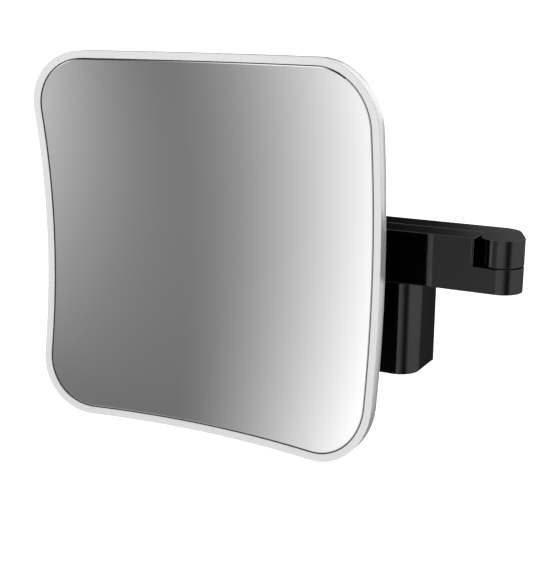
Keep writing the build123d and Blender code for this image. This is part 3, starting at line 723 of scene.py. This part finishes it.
RING_OUT = RIM_WALL + SEAM
RING_IN = RIM_WALL + RING_WIDTH
SEAL_OUT = RING_IN + SEAL_GAP
SEAL_IN = SEAL_OUT + SEAL_WIDTH
GLASS_EDGE = SEAL_IN + SEAL_GAP
LIP_BACK = DISH_R + RING_LIP
GLASS_BACK = DISH_R + GLASS_THICK
SHELL_BACK = DISH_R + HEAD_DEPTH


def make_rim():
    profile = rounded_profile(0.0, RIM_WALL, LIP_BACK + SEAM, SHELL_BACK, RIM_ROUND, RIM_BACK_ROUND)
    dress(band("rim_band", profile), "chrome_rim", "head", "rim_frame")


def make_light_ring():
    """Diffuser with a front flange that reaches out over the rim's front edge."""
    outer, inner, back = RING_OUTER_ROUND, RING_INNER_ROUND, RING_BACK_ROUND
    profile = (
        arc(outer, DISH_R + outer, outer, 180, 270, step=18)
        + arc(RING_IN - inner, DISH_R + inner, inner, 270, 360, step=30)
        + [(RING_IN, GLASS_BACK), (RING_OUT, GLASS_BACK), (RING_OUT, LIP_BACK)]
        + arc(back, LIP_BACK - back, back, 90, 180, step=45)
    )
    dress(band("light_ring_diffuser", profile), "frosted_acrylic", "head", "light_ring")


def make_seal():
    profile = rounded_profile(
        SEAL_OUT, SEAL_IN, DISH_R + SEAL_STEP, GLASS_BACK, SEAL_ROUND, SEAL_BACK_ROUND
    )
    dress(band("seal_bead", profile), "seal_rubber", "head", "mirror_seal")


def make_glass():
    plate = panel("mirror_plate", GLASS_EDGE, DISH_R, GLASS_BACK, GLASS_BEVEL)
    dress(plate, "silvered_glass", "head", "mirror_glass")


def make_back_cover():
    cover = panel("back_cover", RING_OUT, SHELL_BACK - SHELL_THICK, SHELL_BACK, SHELL_BEVEL)
    dress(cover, "shell_black", "head", "back_shell")


make_rim()
make_light_ring()
make_seal()
make_glass()
make_back_cover()

# ---------------------------------------------------------------- CAD nodes that stay
for name, obj in frame["nodes"].items():
    if not obj.hide_render:
        obj.data.materials.clear()
        obj.data.materials.append(MATERIALS[SLOT_OF[name]])

# ---------------------------------------------------------------- floor
def make_floor():
    """Plain pale floor far enough below the object for a camera to look up at it."""
    drop, half = 1.0, 30.0  # metres
    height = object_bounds()[0].z - drop
    corners = ((-half, -half), (half, -half), (half, half), (-half, half))
    mesh = bpy.data.meshes.new("floor")
    mesh.from_pydata([(x, y, height) for x, y in corners], [], [(0, 1, 2, 3)])
    floor = bpy.data.objects.new("floor", mesh)
    bpy.context.scene.collection.objects.link(floor)
    mesh.materials.append(
        surface(
            "floor", grey(0.86), grey(0.88), (0.7, 0.8), tone_scale=3, grain_scale=200,
            grain_height=0.02, emission=0.5,
        )
    )
    floor.visible_glossy = False


make_floor()

# ---------------------------------------------------------------- studio
# The viewer stands on the -Y side. Turn runs from there towards +X and climb up from the horizon.
WHITE = 1.05  # level of the soft light
HORIZON = (  # brightness round the horizon outside the grey flag, as (turn, level)
    (-180, 0.1), (-174, 0.2), (-166, 0.36), (-164, 0.3), (-162, 0.12), (-160, 0.05), (-158, 0.025),
    (-146, 0.03), (-134, 0.3), (-90, 0.45), (-66, WHITE), (-9, WHITE), (-7, 0.5), (14, 0.5),
    (26, 0.38), (34, 0.2), (42, 0.08), (48, 0.055), (54, 0.08), (62, 0.25), (70, 0.48), (158, 0.52),
    (160, 0.16), (172, 0.1), (180, 0.1),
)
FALL = (  # light that fades downwards on the far right, as (how far below the horizon, level)
    (0, WHITE), (9, 1.0), (13.7, 0.68), (17.7, 0.38), (21, 0.18), (25, 0.05),
)
CAPS = (  # overhead and underfoot, as (climb where it starts, where it is full, level)
    (44.0, 58.0, 0.65), (72.0, 82.0, 0.14), (-32.0, -48.0, 0.5),
)
FLAG_HIGHEST, FLAG_LOWEST = 30.0, -32.0  # the flag's shape stays the same beyond these climbs
# the flag over the climb, each as the coefficients of a polynomial with the constant first
FLAG_LINE = (-25.33, 0.0988, -0.00472)  # turn of its middle line
FLAG_MIDDLE = (0.1752, -0.00257, -0.00007)  # level on that line
FLAG_LEFT = (0.00386, 0.00005)  # how fast it brightens to the left
FLAG_RIGHT = (0.00036, -0.00005)  # how fast it brightens to the right
FLAG_RIGHT_LEAST = 0.00015  # and the least of that
FLAG_LEFT_POWER, FLAG_RIGHT_POWER = 1.728, 1.83  # of the turn away from the line


def grey_flag(n, turn, climb):
    """Level of a grey flag left of the viewer: its middle line leans, and it brightens to both sides."""
    rise = n.math("MAXIMUM", n.math("MINIMUM", climb, FLAG_HIGHEST), FLAG_LOWEST)
    away = n.math("SUBTRACT", turn, n.polynomial(rise, *FLAG_LINE))
    left = n.math("POWER", n.math("MAXIMUM", n.math("MULTIPLY", away, -1.0), 0.0), FLAG_LEFT_POWER)
    right = n.math("POWER", n.math("MAXIMUM", away, 0.0), FLAG_RIGHT_POWER)
    middle = n.polynomial(rise, *FLAG_MIDDLE)
    left_gain = n.polynomial(rise, *FLAG_LEFT)
    right_gain = n.math("MAXIMUM", n.polynomial(rise, *FLAG_RIGHT), FLAG_RIGHT_LEAST)
    level = n.math("MULTIPLY_ADD", left, left_gain, middle)
    level = n.math("MULTIPLY_ADD", right, right_gain, level)
    # it ends on its right side, where the horizon's own brightness takes over
    return n.math("ADD", level, n.smooth(turn, -9.0, -5.0))


def far_side(n, level, turn, climb):
    """Adds the light behind the object: fading downwards on the far right, white above."""
    drop = n.math("DIVIDE", n.math("MULTIPLY", climb, -1.0), 90.0)
    fading = n.ramp(drop, [(angle / 90, brightness) for angle, brightness in FALL])
    starts = n.smooth(turn, 146.0, 152.0)
    strip = n.math("MULTIPLY", starts, n.smooth(turn, 160.0, 158.0))
    level = n.blend(level, fading, n.math("MULTIPLY", strip, n.smooth(climb, 8.0, 0.0)))
    level = n.blend(level, WHITE, n.math("MULTIPLY", starts, n.smooth(climb, -2.0, 3.0)))
    behind = n.smooth(n.math("ABSOLUTE", turn), 135.0, 148.0)
    return n.blend(level, WHITE, n.math("MULTIPLY", behind, n.smooth(climb, 17.0, 23.0)))


def build_world():
    """Soft white studio, in which only reflections see the flags and the dim room."""
    world = bpy.data.worlds.new("studio")
    bpy.context.scene.world = world
    world.use_nodes = True
    tree = world.node_tree
    tree.nodes.clear()
    n = Nodes(tree)
    direction = n.add("ShaderNodeTexCoord").outputs["Generated"]
    parts = n.add("ShaderNodeSeparateXYZ", {"Vector": direction})
    x, y, z = (parts.outputs[i] for i in range(3))
    turn = n.math("DEGREES", n.math("ARCTAN2", x, n.math("MULTIPLY", y, -1.0)))
    climb = n.math("DEGREES", n.math("ARCSINE", z))
    share = n.math("ADD", n.math("DIVIDE", turn, 360.0), 0.5)
    around = n.ramp(share, [(place / 360 + 0.5, brightness) for place, brightness in HORIZON])
    level = n.math("MINIMUM", grey_flag(n, turn, climb), around)
    level = far_side(n, level, turn, climb)
    for start, end, full in CAPS:
        level = n.blend(level, full, n.smooth(climb, start, end))
    mirrored = n.add("ShaderNodeLightPath").outputs["Is Glossy Ray"]
    level = n.blend(WHITE, level, mirrored)
    background = n.add("ShaderNodeBackground", {"Color": (1.0, 1.0, 1.0, 1.0), "Strength": level})
    out = n.add("ShaderNodeOutputWorld")
    tree.links.new(background.outputs["Background"], out.inputs["Surface"])


build_world()

# ---------------------------------------------------------------- camera
AZIMUTH = math.radians(28.0)
ELEVATION = math.radians(14.073)
ROLL = math.radians(0.34)
CAMERA_AT = Vector((0.23342, -0.57227, 0.16938))  # metres
LENS = 69.85


def make_camera():
    """Camera right of the mirror and a little above it, looking down at it."""
    level_reach = math.cos(ELEVATION)
    forward = Vector(
        (-math.sin(AZIMUTH) * level_reach, math.cos(AZIMUTH) * level_reach, -math.sin(ELEVATION))
    )
    right = Vector((math.cos(AZIMUTH), math.sin(AZIMUTH), 0.0))
    up = right.cross(forward)
    right_rolled = right * math.cos(ROLL) + up * math.sin(ROLL)
    up_rolled = up * math.cos(ROLL) - right * math.sin(ROLL)
    data = bpy.data.cameras.new("camera")
    data.lens = LENS
    data.clip_start = 0.01
    data.clip_end = 200.0
    camera = bpy.data.objects.new("camera", data)
    bpy.context.scene.collection.objects.link(camera)
    turned = Matrix((right_rolled, up_rolled, -forward)).transposed().to_4x4()
    camera.matrix_world = Matrix.Translation(CAMERA_AT) @ turned
    bpy.context.scene.camera = camera


make_camera()
bpy.context.scene.view_settings.view_transform = "Standard"
